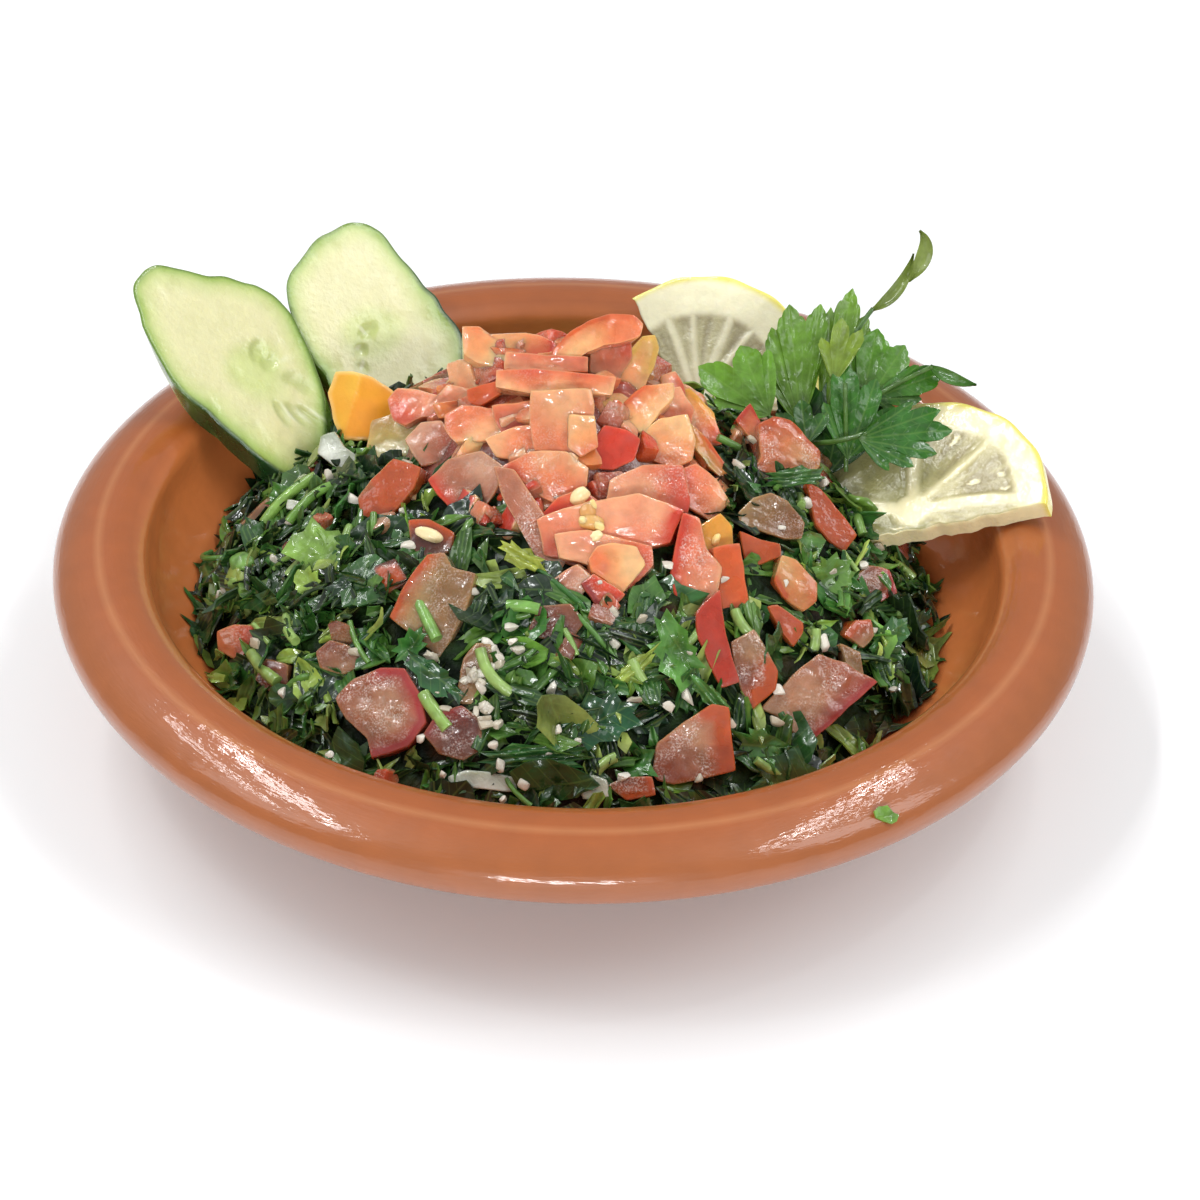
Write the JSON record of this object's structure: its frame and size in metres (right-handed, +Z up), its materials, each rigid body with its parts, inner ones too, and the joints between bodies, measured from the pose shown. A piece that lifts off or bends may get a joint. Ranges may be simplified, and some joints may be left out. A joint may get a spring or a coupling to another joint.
{
  "type": "dish of tabbouleh",
  "caption": "Chopped parsley and bulgur salad heaped in a round glazed clay dish, topped with diced tomato, cucumber and lemon slices, pepper and a parsley sprig.",
  "frame": {"origin": "centre of the dish's flat foot, on the surface it stands on", "axes": "+Z up out of the dish, -Y towards the side that the picture shows in front, +X to its right"},
  "size_m": [0.2094, 0.21, 0.0766],
  "materials": {
    "dish_glaze": "glossy terracotta glaze",
    "salad": "moist chopped parsley with bulgur and tomato",
    "tomato": "wet cut tomato",
    "cucumber": "wet cut cucumber with dark peel",
    "lemon": "wet cut lemon with pale rind",
    "pepper": "glossy orange pepper",
    "parsley": "soft fresh parsley leaf"
  },
  "bodies": {
    "root": {"dish": "dish_glaze", "salad_heap": "salad", "tomato_heap": "tomato", "cucumber_left": "cucumber", "cucumber_right": "cucumber", "lemon_back": "lemon", "lemon_right": "lemon", "pepper_piece": "pepper", "parsley_sprig": "parsley"}
  },
  "joints": []
}
